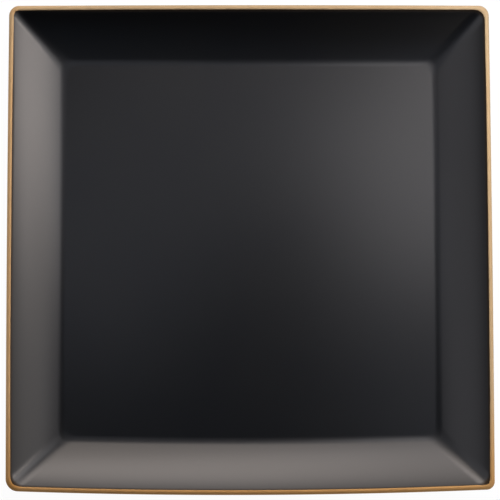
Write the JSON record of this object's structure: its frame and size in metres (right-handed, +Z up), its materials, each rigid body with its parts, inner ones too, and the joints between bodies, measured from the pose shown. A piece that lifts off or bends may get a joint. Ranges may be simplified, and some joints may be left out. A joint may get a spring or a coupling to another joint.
{
  "type": "square dinner plate",
  "caption": "Square stoneware dinner plate with a flat well, sloping walls with mitred corners, a rounded gold-banded lip and a square foot ring under a satin black glaze.",
  "frame": {"origin": "middle of the foot ring's resting plane, which is the middle of the plate's box at its bottom", "axes": "+Z up, out of the well; +X to the right in the picture and +Y to its top; the front and back sides, across Y, are the ones that swell a little"},
  "size_m": [0.267, 0.27, 0.025],
  "materials": {
    "stoneware": "matte",
    "black_glaze": "satin",
    "base_black_glaze": "satin",
    "gold_lustre": "satin"
  },
  "bodies": {
    "root": {"stoneware_body": "stoneware", "glaze_coat": "black_glaze", "base_glaze": "base_black_glaze", "gold_rim_band": "gold_lustre"}
  },
  "joints": []
}
